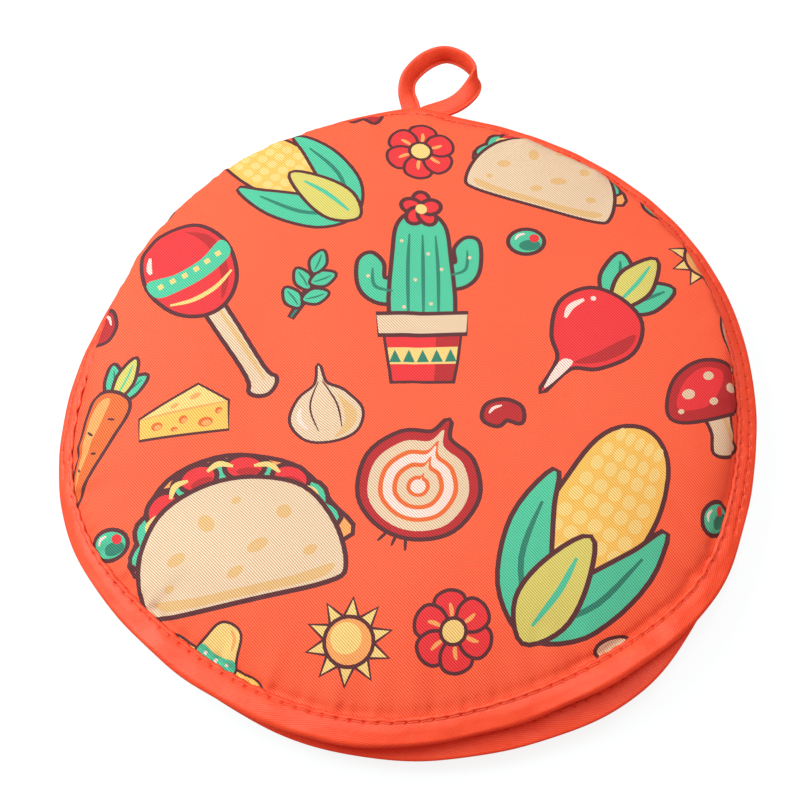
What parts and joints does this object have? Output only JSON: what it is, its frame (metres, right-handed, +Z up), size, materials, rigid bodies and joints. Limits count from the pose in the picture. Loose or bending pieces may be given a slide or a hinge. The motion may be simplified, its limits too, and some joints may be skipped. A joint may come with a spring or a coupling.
{
  "type": "tortilla warmer",
  "caption": "Round padded cloth pouch with a taped edge, a part-sewn rim that opens as a mouth at the front, and a hanging loop at the rear.",
  "frame": {"origin": "centre of the disc, on the flat underside that the pouch lies on", "axes": "+Z up out of the upper panel; +Y towards the hanging loop, along the longest side; -Y towards the mouth; +X to the right when seen from the mouth"},
  "size_m": [0.305, 0.3465, 0.0359],
  "materials": {
    "printed_cloth": "printed polyester twill, soft satin",
    "batting": "white lofted polyester fibre",
    "insulating_film": "thin polyester film",
    "lining_cloth": "plain woven polyester, matt",
    "binding_tape": "bias tape, fine twill, soft satin",
    "thread": "polyester sewing thread"
  },
  "bodies": {
    "pouch": {"lower_cover": "printed_cloth", "lower_batting": "batting", "lower_film": "insulating_film", "lower_lining": "lining_cloth", "lower_binding": "binding_tape", "lower_binding_stitches": "thread", "upper_cover_rear": "printed_cloth", "upper_batting_rear": "batting", "upper_film_rear": "insulating_film", "upper_lining_rear": "lining_cloth", "upper_binding_rear": "binding_tape", "upper_binding_stitches_rear": "thread", "joining_stitches": "thread", "loop_ends": "binding_tape", "loop_tack_stitches": "thread"},
    "flap": {"upper_cover_flap": "printed_cloth", "upper_batting_flap": "batting", "upper_film_flap": "insulating_film", "upper_lining_flap": "lining_cloth", "upper_binding_flap": "binding_tape", "upper_binding_stitches_flap": "thread"},
    "loop": {"hanging_loop": "binding_tape", "loop_stitches": "thread"}
  },
  "joints": [
    {"name": "mouth_hinge", "type": "hinge", "parent": "pouch", "child": "flap", "pos_m": [0, -0.04965, 0.0337], "axis": [-1, 0, 0], "range_deg": [0, 65]},
    {"name": "loop_hinge", "type": "hinge", "parent": "pouch", "child": "loop", "pos_m": [0, 0.15275, 0.0158], "axis": [1, 0, 0], "range_deg": [-10, 90]}
  ]
}
